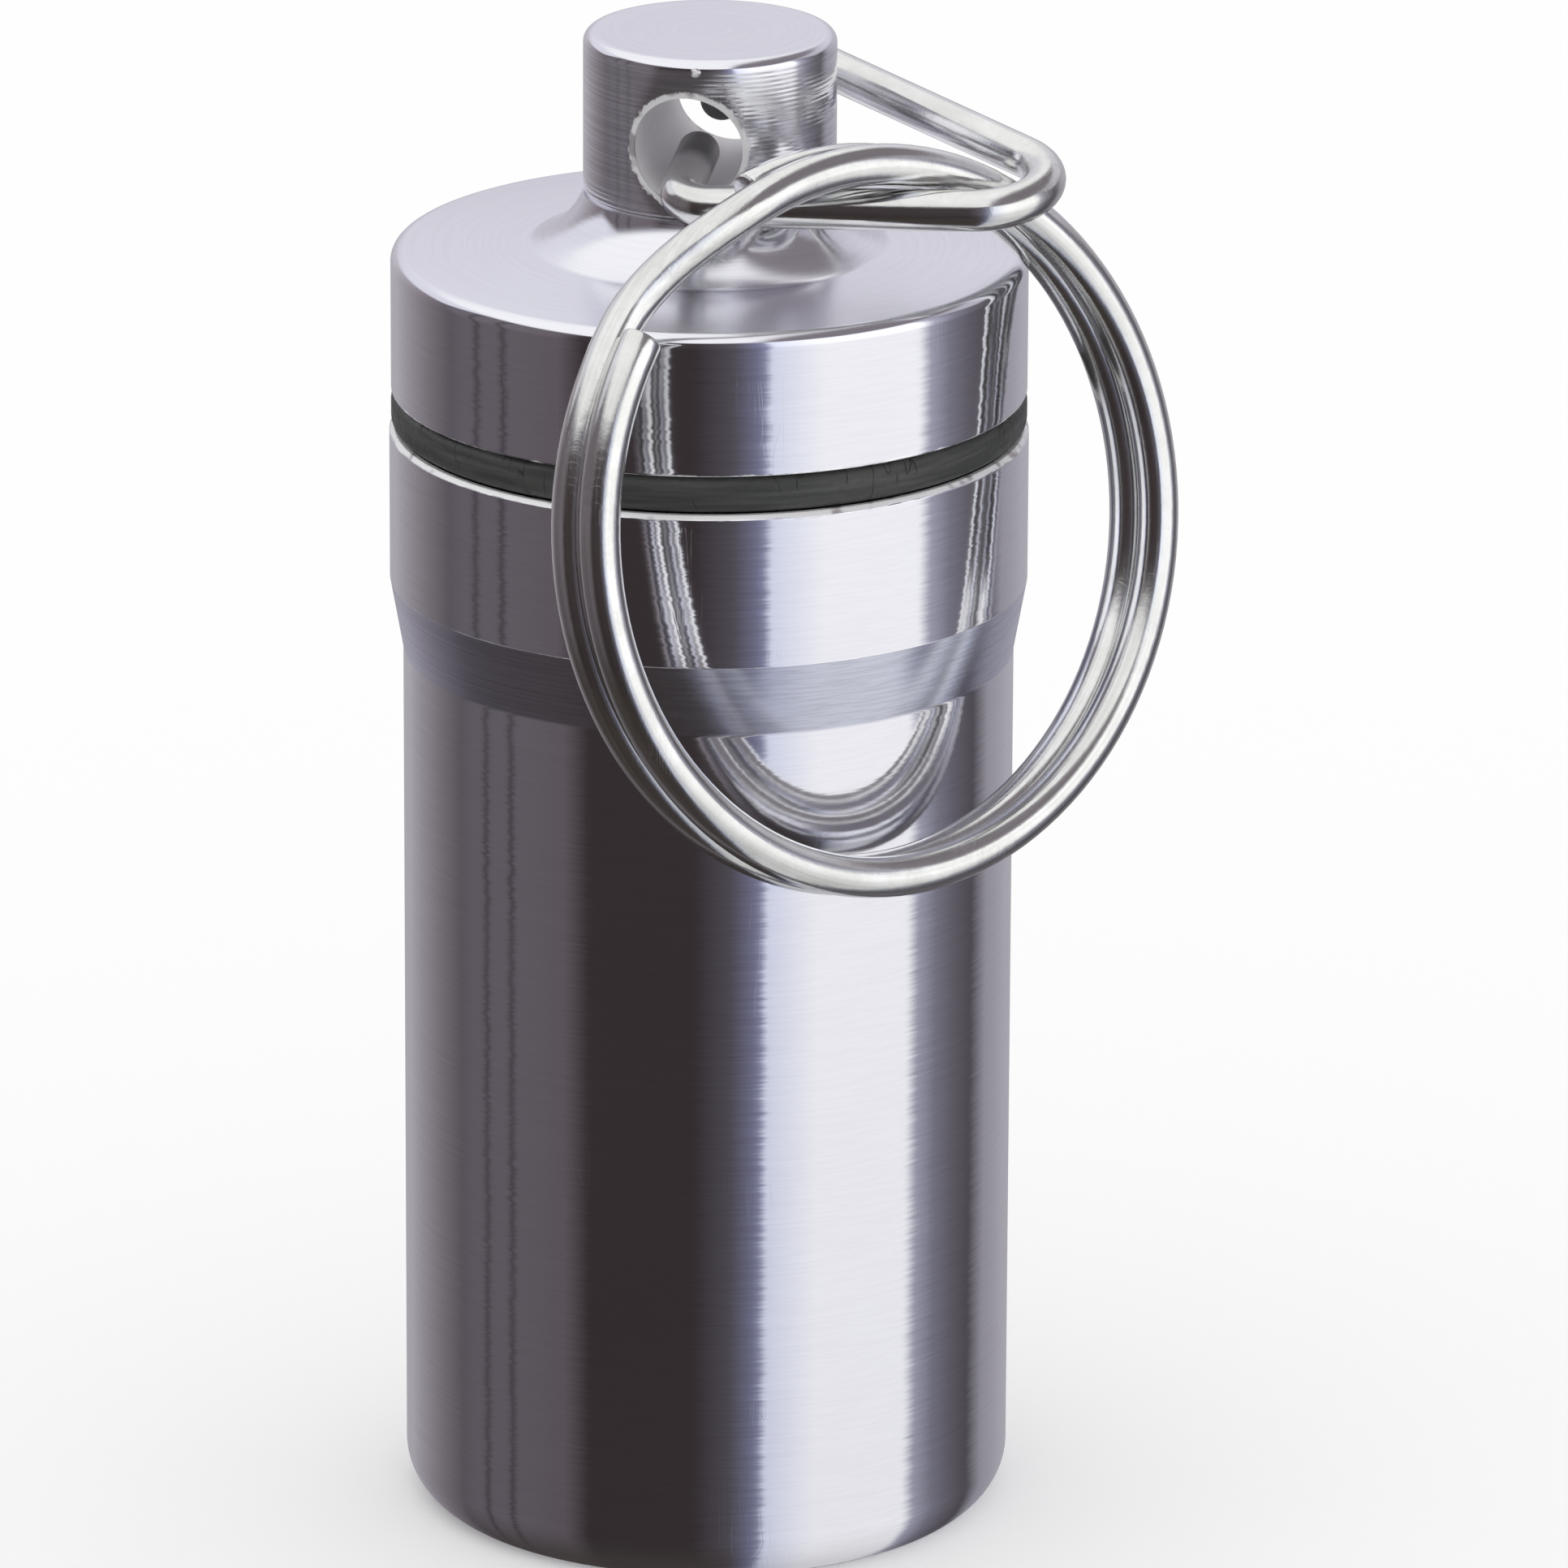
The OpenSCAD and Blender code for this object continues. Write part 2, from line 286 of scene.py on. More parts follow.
def close_up():
    bpy.ops.mesh.select_all(action="SELECT")
    bpy.ops.mesh.remove_doubles(threshold=DOUBLES)
    bpy.ops.mesh.normals_make_consistent(inside=False)


def rest(piece, angle=30):
    """Leaves edit mode, puts the piece's place in its mesh and shades it."""
    make_active(piece)
    bpy.ops.object.transform_apply(location=True, rotation=True, scale=True)
    bpy.ops.object.shade_smooth_by_angle(angle=math.radians(angle))
    piece.select_set(False)
    return piece


def rounded(corners):
    """Profile points of a polyline whose corners are (radius, height, edge round).

    A rounded corner gets an arc, and a point just outside each end of it that keeps the flats flat.
    """
    degrees_a_step = 12
    points = []
    for i, (x, z, edge) in enumerate(corners):
        here = Vector((x, z))
        if edge <= 0 or i in (0, len(corners) - 1):
            points.append(here)
            continue
        back = (Vector(corners[i - 1][:2]) - here).normalized()
        on = (Vector(corners[i + 1][:2]) - here).normalized()
        half = back.angle(on) / 2
        cut = edge / math.tan(half)
        centre = here + (back + on).normalized() * edge / math.sin(half)
        first, last = here + back * cut, here + on * cut
        turn = math.pi - 2 * half
        steps = max(2, round(math.degrees(turn) / degrees_a_step))
        points.append(first + back * FLANK)
        start = first - centre
        side = 1 if start.x * (last - centre).y - start.y * (last - centre).x > 0 else -1
        for k in range(steps + 1):
            a = side * turn * k / steps
            spoke = Vector((
                start.x * math.cos(a) - start.y * math.sin(a),
                start.x * math.sin(a) + start.y * math.cos(a),
            ))
            points.append(centre + spoke)
        points.append(last + on * FLANK)
    return points


def arc(x, z, radius, start, end):
    """Profile corners along an arc in the plane of radius and height; angles in degrees."""
    corners = []
    for k in range(ARC_STEPS + 1):
        a = math.radians(start + (end - start) * k / ARC_STEPS)
        corners.append((x + radius * math.cos(a), z + radius * math.sin(a), 0))
    return corners


def flare_arc(high, low, radius):
    """Profile corners of a hollow arc of a given radius, from its outer low end to its high end."""
    start, end = Vector(low), Vector(high)
    chord = end - start
    half = chord.length / 2
    away = Vector((-chord.y, chord.x)).normalized()
    if away.x < 0:
        away = -away
    centre = (start + end) / 2 + away * math.sqrt(radius**2 - half**2)
    first = math.atan2(start.y - centre.y, start.x - centre.x)
    last = math.atan2(end.y - centre.y, end.x - centre.x)
    sweep = (last - first + math.pi) % math.tau - math.pi
    angles = [first + sweep * k / ARC_STEPS for k in range(ARC_STEPS + 1)]
    return [(centre.x + radius * math.cos(a), centre.y + radius * math.sin(a), 0) for a in angles]


def turned(name, corners, closed=False):
    """A turned piece: its profile is drawn point by point and spun round Z."""
    points = [Vector((p.x, 0, p.y)) for p in rounded(corners)]
    piece = start_point(name, points[0])
    for here, there in zip(points, points[1:]):
        extrude_to(here, there)
    bpy.ops.mesh.select_all(action="SELECT")
    if closed:
        bpy.ops.mesh.remove_doubles(threshold=DOUBLES)
    bpy.ops.mesh.spin(
        steps=TURN_STEPS, angle=math.tau, center=(0, 0, 0), axis=(0, 0, 1), dupli=False
    )
    close_up()
    return rest(piece)


def wire_section(name, radius, point, axis):
    """The end of a wire: a circle round a point, facing along an axis, selected in edit mode."""
    only_object_mode()
    turn = Vector((0, 0, 1)).rotation_difference(Vector(axis)).to_euler()
    bpy.ops.mesh.primitive_circle_add(
        vertices=WIRE_SIDES, radius=radius, location=point, rotation=turn, fill_type="NGON"
    )
    piece = bpy.context.object
    piece.name = piece.data.name = name
    bpy.ops.object.transform_apply(location=True, rotation=True, scale=True)
    edit("VERT")
    return piece


def draw_out(step):
    bpy.ops.mesh.extrude_region_move(TRANSFORM_OT_translate={"value": step})


def bend_wire(centre, axis, degrees, steps):
    """Spins the wire's end counter-clockwise about an axis; the operator itself turns clockwise."""
    bpy.ops.mesh.spin(
        steps=steps, angle=-math.radians(degrees), center=centre, axis=axis, dupli=False
    )


def ease_cut_ends(piece, ends, ease):
    """Bevels the rims of a wire's two cut ends."""
    near = 0.05 * MM
    close_up()
    edit("FACE", "DESELECT")
    bpy.ops.object.mode_set(mode="OBJECT")
    for face in piece.data.polygons:
        if len(face.vertices) == WIRE_SIDES:
            face.select = any((face.center - Vector(end)).length < near for end in ends)
    bpy.ops.object.mode_set(mode="EDIT")
    bpy.ops.mesh.bevel(offset=ease, segments=3, affect="EDGES", clamp_overlap=True)


# Shader helpers.

def empty_tree(owner):
    """The node tree of a material or a world, without nodes."""
    owner.use_nodes = True
    owner.node_tree.nodes.clear()
    return owner.node_tree


def add_node(tree, kind, values=None, **settings):
    """A new shader node; its values are set, or linked where they are other nodes' outputs."""
    made = tree.nodes.new("ShaderNode" + kind)
    for key, value in settings.items():
        setattr(made, key, value)
    for key, value in (values or {}).items():
        if isinstance(value, bpy.types.NodeSocket):
            tree.links.new(value, made.inputs[key])
        else:
            made.inputs[key].default_value = value
    return made


def output(tree, kind, values=None, **settings):
    """The first output of a new shader node."""
    return add_node(tree, kind, values, **settings).outputs[0]


def maths(tree, operation, *terms):
    return output(tree, "Math", dict(enumerate(terms)), operation=operation)


def times(tree, a, b):
    return maths(tree, "MULTIPLY", a, b)


def plus(tree, a, b):
    return maths(tree, "ADD", a, b)


def minus(tree, a, b):
    return maths(tree, "SUBTRACT", a, b)


def largest(tree, a, b):
    return maths(tree, "MAXIMUM", a, b)


def unsigned(tree, a):
    return maths(tree, "ABSOLUTE", a)


def hypot(tree, a, b):
    """The length of the vector whose two parts are a and b."""
    return maths(tree, "SQRT", plus(tree, times(tree, a, a), times(tree, b, b)))


def vector_maths(tree, operation, values):
    return output(tree, "VectorMath", values, operation=operation)


def combined(tree, x, y, z):
    return output(tree, "CombineXYZ", {0: x, 1: y, 2: z})


def parts_of(tree, vector):
    return add_node(tree, "SeparateXYZ", {0: vector}).outputs


def mapped(tree, value, low, high, to_low=0.0, to_high=1.0, smooth=True):
    labels = ("Value", "From Min", "From Max", "To Min", "To Max")
    values = dict(zip(labels, (value, low, high, to_low, to_high)))
    kind = "SMOOTHSTEP" if smooth else "LINEAR"
    return add_node(tree, "MapRange", values, interpolation_type=kind).outputs["Result"]


def fading(tree, value, low, high):
    """1 below the low value, 0 above the high one."""
    return mapped(tree, value, low, high, 1.0, 0.0)


def band(tree, value, low, high, soft):
    """1 between two values, 0 outside them."""
    above = mapped(tree, value, low - soft, low + soft)
    return times(tree, above, fading(tree, value, high - soft, high + soft))


def mixed(tree, factor, a, b):
    """A mix of two colours, each three numbers or another node's output."""
    node = add_node(tree, "Mix", data_type="RGBA")
    for socket, value in ((0, factor), (6, a), (7, b)):
        if isinstance(value, bpy.types.NodeSocket):
            tree.links.new(value, node.inputs[socket])
        else:
            node.inputs[socket].default_value = (*value, 1) if socket else value
    return node.outputs[2]


def dimmed(rgb, *by):
    """A colour times one number, or times one number for each channel."""
    factors = by if len(by) == 3 else by * 3
    return tuple(part * factor for part, factor in zip(rgb, factors))


def noise(tree, vector, scale, detail=2.0, rough=0.5):
    values = {"Vector": vector, "Scale": scale, "Detail": detail, "Roughness": rough}
    return add_node(tree, "TexNoise", values).outputs["Fac"]


def millimetres(tree):
    """The object coordinates in millimetres: the point, x, y, z and the distance from the axis."""
    place = add_node(tree, "TexCoord").outputs["Object"]
    point = vector_maths(tree, "SCALE", {0: place, "Scale": 1 / MM})
    x, y, z = parts_of(tree, point)
    return point, x, y, z, hypot(tree, x, y)


def group(name, inputs, outputs):
    """A new shader node group with named float inputs and outputs; only a normal is a vector."""
    tree = bpy.data.node_groups.new(name, "ShaderNodeTree")
    for label, default in inputs.items():
        socket = tree.interface.new_socket(
            name=label, in_out="INPUT", socket_type="NodeSocketFloat"
        )
        socket.default_value = default
    for label in outputs:
        kind = "NodeSocketVector" if label == "Normal" else "NodeSocketFloat"
        tree.interface.new_socket(name=label, in_out="OUTPUT", socket_type=kind)
    entry = tree.nodes.new("NodeGroupInput")
    leave = tree.nodes.new("NodeGroupOutput")
    return tree, entry.outputs, leave.inputs


def turning_marks_group():
    """Grooves that the lathe tool left: rings round Z, on walls and on faces alike.

    Each ring also leans a little sideways, which frays the edges of the upright reflections.
    """
    tree, entry, leave = group(
        "Turning marks",
        {"Feed mm": 0.15, "Depth mm": 0.001, "Sway": 0.02},
        ["Height", "Mask", "Normal"],
    )
    _, x, y, z, radius = millimetres(tree)
    rings = combined(tree, radius, z, times(tree, plus(tree, x, y), 0.04))
    per_feed = maths(tree, "DIVIDE", 1.0, entry["Feed mm"])
    fine = noise(tree, rings, per_feed, 2.0, 0.6)
    broad = noise(tree, rings, times(tree, per_feed, 0.15))
    both = plus(tree, times(tree, fine, 0.8), broad)
    tree.links.new(times(tree, both, entry["Depth mm"]), leave["Height"])
    tree.links.new(mapped(tree, fine, 0.40, 0.62), leave["Mask"])
    facing = add_node(tree, "NewGeometry").outputs["Normal"]
    round_axis = vector_maths(tree, "CROSS_PRODUCT", {0: (0, 0, 1), 1: facing})
    patches = combined(
        tree,
        times(tree, x, 0.5),
        times(tree, y, 0.5),
        times(tree, z, times(tree, per_feed, 0.9)),
    )
    lean = times(tree, minus(tree, noise(tree, patches, 1.0, 1.0), 0.5), entry["Sway"])
    side = vector_maths(tree, "SCALE", {0: round_axis, "Scale": lean})
    leaning = vector_maths(tree, "ADD", {0: facing, 1: side})
    tree.links.new(vector_maths(tree, "NORMALIZE", {0: leaning}), leave["Normal"])


def handling_marks_group():
    """Fine scratches from keys and pockets, slanted in two ways, in patches."""
    tree, entry, leave = group(
        "Handling marks", {"Spacing mm": 1.2, "Amount": 0.5}, ["Height", "Mask"]
    )
    point = millimetres(tree)[0]
    per_spacing = maths(tree, "DIVIDE", 1.0, entry["Spacing mm"])
    patch = mapped(tree, noise(tree, point, 0.35), 0.5, 0.7)
    hair = 0.006
    lines = 0.0
    for turn, stretch in (((0.5, 0.3, 0.9), (9, 0.5, 0.5)), ((-0.7, 0.2, 0.4), (0.4, 8, 0.6))):
        slanted = output(
            tree, "Mapping", {"Vector": point, "Rotation": turn, "Scale": stretch}
        )
        streak = noise(tree, slanted, per_spacing, 1.0)
        line = fading(tree, unsigned(tree, minus(tree, streak, 0.5)), 0.0, hair)
        lines = plus(tree, times(tree, line, patch), lines)
    mask = times(tree, lines, entry["Amount"])
    tree.links.new(mask, leave["Mask"])
    tree.links.new(times(tree, mask, -0.002), leave["Height"])


def worn_edge_highlight_group():
    """A ragged bright band at a height, where a turned edge is nicked and scuffed: wear with a
    painted highlight.
    """
    tree, entry, leave = group(
        "Worn edge with painted highlight",
        {"Edge height mm": 0.0, "Half width mm": 0.1, "Ragged mm": 0.1, "Least radius mm": 0.0},
        ["Height", "Mask"],
    )
    point, _, _, z, radius = millimetres(tree)
    nicks = noise(tree, point, 0.9, 3.0, 0.6)
    wander = times(tree, minus(tree, nicks, 0.5), entry["Ragged mm"])
    away = unsigned(tree, minus(tree, z, entry["Edge height mm"]))
    inside = minus(tree, entry["Half width mm"], plus(tree, away, wander))
    outside = maths(tree, "GREATER_THAN", radius, entry["Least radius mm"])
    mask = times(tree, mapped(tree, inside, 0.0, 0.05), outside)
    tree.links.new(mask, leave["Mask"])
    tree.links.new(times(tree, mask, times(tree, nicks, 0.02)), leave["Height"])


def place_group(tree, name, *values):
    """A group's node, with one value for each of its inputs in their order."""
    node = add_node(tree, "Group", node_tree=bpy.data.node_groups[name])
    for socket, value in zip(node.inputs, values, strict=True):
        socket.default_value = value
    return node.outputs


# Materials.

def new_material(name):
    tree = empty_tree(bpy.data.materials.new(name))
    surface = add_node(tree, "BsdfPrincipled")
    add_node(tree, "OutputMaterial", {"Surface": surface.outputs[0]})
    return tree, surface.inputs


def bumped(tree, heights, surface, normal=None):
    """Feeds the sum of heights in millimetres to the surface's normal."""
    total = heights[0]
    for height in heights[1:]:
        total = plus(tree, total, height)
    values = {"Strength": 1.0, "Distance": MM, "Height": total}
    if normal is not None:
        values["Normal"] = normal
    tree.links.new(output(tree, "Bump", values), surface["Normal"])


def upright_below(tree, z, height, normal, kept):
    """Draws the normals of a rounded foot level, so that the wall's bands run on to its edge."""
    x_part, y_part, z_part = parts_of(tree, normal)
    lift = mapped(tree, z, height - 0.1, height + 0.1, kept, 1.0)
    drawn = combined(tree, x_part, y_part, times(tree, z_part, lift))
    return vector_maths(tree, "NORMALIZE", {0: drawn})


def knob_marks(tree, cap):
    """Masks of the knob's wall, bored hole, burr and nick, the last two painted bright as
    highlights, and the height of its fine grooves.
    """
    point, x, _, z, radius = millimetres(tree)
    knob, hole = cap.knob_radius / MM, cap.hole_radius / MM
    foot = (cap.rim_top + cap.rim_round + cap.crown + cap.fillet) / MM
    nick_place = (0.25, -3.30, 40.42)
    groove_pitch, groove_depth = 0.125, 0.0010

    off_hole = hypot(tree, x, minus(tree, z, cap.hole_height / MM))
    bored = times(
        tree,
        fading(tree, off_hole, hole + 0.02, hole + 0.1),
        fading(tree, radius, knob - 0.2, knob - 0.05),
    )
    ragged = times(tree, noise(tree, point, 4.0, 3.0), 0.3)
    # The burr ring round the hole is painted bright, a painted highlight on the deburred rim.
    burr_and_highlight = times(
        tree,
        fading(tree, plus(tree, off_hole, ragged), hole + 0.26, hole + 0.34),
        mapped(tree, radius, knob - 0.30, knob - 0.12),
    )
    # The nick on the knob's top edge is painted as a bright glint.
    off_nick = add_node(
        tree, "VectorMath", {0: point, 1: nick_place}, operation="DISTANCE"
    ).outputs["Value"]
    nick_and_glint = fading(tree, plus(tree, off_nick, times(tree, ragged, 0.3)), 0.11, 0.18)
    wall = band(tree, z, foot, cap.top / MM - 0.25, 0.05)
    drift = times(tree, plus(tree, noise(tree, point, 0.9), times(tree, x, 0.05)), 1.6)
    groove = maths(tree, "SINE", plus(tree, times(tree, z, math.tau / groove_pitch), drift))
    fresh = times(tree, wall, mapped(tree, noise(tree, point, 0.6), 0.35, 0.6, 0.3, 1.0))
    grooves = times(tree, times(tree, groove, groove_depth), fresh)
    return wall, bored, burr_and_highlight, nick_and_glint, grooves


def aluminium(name, finish, feed, depth, edges, cap=None, taper=None, foot_height=None):
    """Polished turned aluminium: grooves with painted shade, scratches, cloudy polish, matt faces,
    and edge wear with a painted highlight.

    Feed and depth are those of the grooves, in mm, as are the heights of the taper and the foot.
    The sizes of the cap, where given, place the finish of its knob and cross hole.
    The taper is the lowest and highest point of a band with a brushed finish, darker and bluer
    partly from brushing and partly as a painted reflection.
    Below the foot height the rounded edge mirrors almost as the wall above it does.
    """
    tree, surface = new_material(name)
    turning = place_group(tree, "Turning marks", feed, depth, finish.sway)
    marks = place_group(tree, "Handling marks", 2.5, 0.12)
    point, _, _, z, _ = millimetres(tree)
    heights = [turning["Height"], marks["Height"]]
    wear_and_highlight = 0.0
    for edge in edges:
        rubbed_and_highlight = place_group(tree, "Worn edge with painted highlight", *edge)
        wear_and_highlight = largest(tree, rubbed_and_highlight["Mask"], wear_and_highlight)
        heights.append(rubbed_and_highlight["Height"])

    cloud = noise(tree, point, 0.3, 3.0)
    facing = add_node(tree, "NewGeometry").outputs["Normal"]
    level = mapped(tree, unsigned(tree, parts_of(tree, facing)[2]), 0.45, 0.97)
    rough = mapped(tree, cloud, 0.3, 0.7, finish.polish * 0.85, finish.polish * 1.2)
    rough = plus(tree, rough, times(tree, level, finish.faces - finish.polish))
    base = mixed(tree, cloud, dimmed(finish.aluminium, 0.97, 0.95, 0.97), finish.aluminium)
    groove_shade = 0.05
    matt = 0.0
    if taper is not None:
        brushed = band(tree, z, *taper, 0.02)
        rough = plus(tree, rough, times(tree, brushed, 0.13))
        # The brushed band is darker for its brushing and tinted blue as a painted reflection of the
        # window.
        base = mixed(tree, times(tree, brushed, 0.6), base, BRUSHED_AND_PAINTED_REFLECTION)
        groove_shade = plus(tree, times(tree, brushed, 0.18), groove_shade)
    if cap is not None:
        wall, bored, burr_and_highlight, nick_and_glint, grooves = knob_marks(tree, cap)
        wear_and_highlight = largest(tree, nick_and_glint, largest(tree, burr_and_highlight, wear_and_highlight))
        heights += [times(tree, nick_and_glint, 0.06), grooves]
        rough = plus(tree, rough, times(tree, bored, 0.3))
        rough = plus(tree, rough, times(tree, wall, 0.06))
        groove_shade = plus(tree, times(tree, wall, 0.22), groove_shade)
        matt = largest(tree, times(tree, bored, 0.85), times(tree, wall, 0.06))
    # Painted shade darkens the turning grooves, more on the taper and the knob's wall.
    base = mixed(
        tree,
        times(tree, turning["Mask"], groove_shade),
        base,
        dimmed(finish.aluminium, 0.45, 0.42, 0.45),
    )
    # Edge wear, the burr and the nick are painted pale as highlights, broken by darker chips.
    chips = mapped(tree, noise(tree, point, 1.6, 1.0), 0.30, 0.44)
    base = mixed(tree, wear_and_highlight, base, mixed(tree, chips, RUBBED_DARK, PAINTED_EDGE_HIGHLIGHT))
    if cap is not None:
        base = mixed(tree, bored, base, BORED)
    tree.links.new(base, surface["Base Color"])
    matt = largest(tree, times(tree, wear_and_highlight, 0.55), matt)
    tree.links.new(minus(tree, 1.0, matt), surface["Metallic"])
    rough = plus(tree, rough, times(tree, marks["Mask"], 0.12))
    rough = plus(tree, rough, times(tree, wear_and_highlight, 0.3))
    tree.links.new(rough, surface["Roughness"])
    normal = turning["Normal"]
    if foot_height is not None:
        normal = upright_below(tree, z, foot_height, normal, 0.2)
    bumped(tree, heights, surface, normal)


def steel(name, finish, pose, coiled, hook_shade_reach=0.0):
    """Plated steel wire: bright, slightly uneven, with drawing lines, small pits and scuffs.

    The pose places the wire's own plane; a coiled wire's lines follow its circle as well.
    Up to the given distance from the middle plane the hooks are darkened with painted shade, where
    they lie in the cross hole.
    """
    tree, surface = new_material(name)
    marks = place_group(tree, "Handling marks", 0.8, 0.5)
    point = millimetres(tree)[0]
    place, turn = pose.translation / MM, tuple(pose.to_euler("XYZ"))
    own = output(
        tree,
        "Mapping",
        {"Vector": point, "Location": place, "Rotation": turn},
        vector_type="TEXTURE",
    )
    u, v, w = parts_of(tree, own)
    if coiled:
        outward = times(tree, hypot(tree, u, v), 7.0)
        across = combined(tree, outward, times(tree, w, 7.0), times(tree, u, 0.15))
    else:
        across = combined(tree, times(tree, u, 0.3), times(tree, w, 7.0), times(tree, v, 0.3))
    drawn = mapped(tree, noise(tree, across, 1.0, 2.0, 0.6), 0.35, 0.65)
    cloud = noise(tree, point, 0.8, 4.0, 0.6)
    ripple = noise(tree, point, 2.2, 3.0, 0.55)
    dirt = mapped(tree, noise(tree, point, 5.0, 4.0, 0.7), 0.45, 0.8)

    dull = dimmed(finish.steel, 0.92, 0.92, 0.90)
    base = mixed(tree, mapped(tree, cloud, 0.35, 0.65), dull, finish.steel)
    base = mixed(tree, times(tree, dirt, 0.2), base, dimmed(finish.steel, 0.6, 0.6, 0.58))
    base = mixed(tree, times(tree, drawn, 0.30), base, dimmed(finish.steel, 0.62))
    if hook_shade_reach > 0:
        # Painted shade: the hooks are darkened where they lie in the cross hole.
        inner = fading(tree, unsigned(tree, v), hook_shade_reach, hook_shade_reach + 0.7)
        inner = times(tree, inner, fading(tree, u, 0.8, 1.6))
        base = mixed(tree, inner, base, dimmed(finish.steel, 0.25))
    tree.links.new(base, surface["Base Color"])
    surface["Metallic"].default_value = 1.0
    rough = mapped(tree, cloud, 0.3, 0.7, finish.drawn * 1.15, finish.drawn * 0.85)
    rough = plus(tree, rough, times(tree, marks["Mask"], 0.12))
    tree.links.new(rough, surface["Roughness"])
    heights = [
        times(tree, ripple, 0.004),
        times(tree, dirt, -0.0006),
        times(tree, drawn, 0.0012),
        marks["Height"],
    ]
    bumped(tree, heights, surface)


def rubber(name, finish, seal_radius):
    """Aged rubber: satin, faintly streaked along the seal, with hairline cracks across it."""
    tree, surface = new_material(name)
    point, x, y, z, _ = millimetres(tree)
    grain = noise(tree, point, 5.0, 4.0, 0.7)
    round_way = times(tree, maths(tree, "ARCTAN2", y, x), seal_radius)
    along = combined(tree, times(tree, round_way, 0.35), times(tree, z, 5.0), 0.0)
    streaks = noise(tree, along, 1.0, 3.0, 0.6)
    across = combined(tree, times(tree, round_way, 1.3), times(tree, z, 0.35), 0.0)
    hair = unsigned(tree, minus(tree, noise(tree, across, 1.0, 2.0, 0.6), 0.5))
    crack = fading(tree, hair, 0.0, 0.012)
    crack = times(tree, crack, mapped(tree, noise(tree, point, 0.5), 0.48, 0.62))
    pale = dimmed(finish.rubber, 1.9, 1.9, 1.85)
    base = mixed(tree, mapped(tree, streaks, 0.35, 0.75), finish.rubber, pale)
    tree.links.new(mixed(tree, crack, base, CRACKED), surface["Base Color"])
    tree.links.new(mapped(tree, grain, 0.3, 0.7, 0.42, 0.58), surface["Roughness"])
    bumped(tree, [times(tree, grain, 0.012), times(tree, crack, -0.03)], surface)


def link_pose(wires):
    """Where the link's own plane lies: hooks along Y, tip towards +X."""
    return (
        Matrix.Translation((0, 0, wires.link_height))
        @ Matrix.Rotation(math.radians(LINK_TILT), 4, "X")
        @ Matrix.Rotation(math.radians(LINK_DROOP), 4, "Y")
    )


def ring_pose():
    """Where the ring's own plane lies."""
    return (
        Matrix.Translation(RING_CENTRE)
        @ Matrix.Rotation(math.radians(RING_TURN), 4, "Z")
        @ Matrix.Rotation(math.radians(90 - RING_LEAN), 4, "Y")
        @ Matrix.Rotation(math.radians(90), 4, "Z")
    )


# Operators.

class CAPSULE_OT_finishes(bpy.types.Operator):
    """Builds the shared shader node groups and the materials."""

    bl_idname = "capsule.finishes"
    bl_label = "Finishes"

    def execute(self, context):
        finish = context.scene.capsule_finish
        tube = context.scene.capsule_tube
        cap = context.scene.capsule_cap
        turning_marks_group()
        handling_marks_group()
        worn_edge_highlight_group()
        # Edge wear with its painted highlight: height, half width, raggedness and least radius, all
        # in mm.
        tube_edges = [
            (tube.top / MM, 0.13, 0.16, tube.collar_radius / MM - 0.25),
            (tube.collar_bottom / MM, 0.02, 0.05, tube.mouth_radius / MM),
        ]
        cap_edges = [(cap.bottom / MM, 0.05, 0.30, cap.neck_radius / MM + 0.2)]
        aluminium(
            "tube aluminium",
            finish,
            feed=0.07,
            depth=0.0006,
            edges=tube_edges,
            taper=(tube.taper_bottom / MM, tube.collar_bottom / MM),
            foot_height=1.3,
        )
        aluminium("cap aluminium", finish, feed=0.09, depth=0.0008, edges=cap_edges, cap=cap)
        wires = context.scene.capsule_wires
        steel("link steel", finish, link_pose(wires), coiled=False, hook_shade_reach=2.4)
        steel("ring steel", finish, ring_pose(), coiled=True)
        rubber("seal rubber", finish, cap.rim_radius / MM)
        return {"FINISHED"}


def finish_piece(piece, body, node, material):
    piece.data.materials.append(bpy.data.materials[material])
    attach(piece, body)
    if node:
        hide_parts(node)


def thread_ridge(name, root, crest, bottom, pitch):
    """A helical ridge whose section is a trapezium from the root radius to the crest radius."""
    foot, point = 0.36 * pitch, 0.10 * pitch
    section = [
        (root, 0, bottom - foot),
        (crest, 0, bottom - point),
        (crest, 0, bottom + point),
        (root, 0, bottom + foot),
    ]
    piece = start_point(name, section[0])
    for here, there in zip(section, section[1:]):
        extrude_to(here, there)
    bpy.ops.mesh.select_all(action="SELECT")
    bpy.ops.mesh.edge_face_add()
    bpy.ops.mesh.delete(type="ONLY_FACE")
    bpy.ops.object.mode_set(mode="OBJECT")
    bpy.ops.object.modifier_add(type="SCREW")
    screw = piece.modifiers[-1]
    screw.angle = math.tau
    screw.screw_offset = pitch
    screw.iterations = THREAD_TURNS
    screw.steps = screw.render_steps = TURN_STEPS // 2
    screw.use_merge_vertices = False
    bpy.ops.object.modifier_apply(modifier=screw.name)
    edit("EDGE", "DESELECT")
    bpy.ops.mesh.select_non_manifold()
    bpy.ops.mesh.edge_face_add()
    close_up()
    return rest(piece, 50)


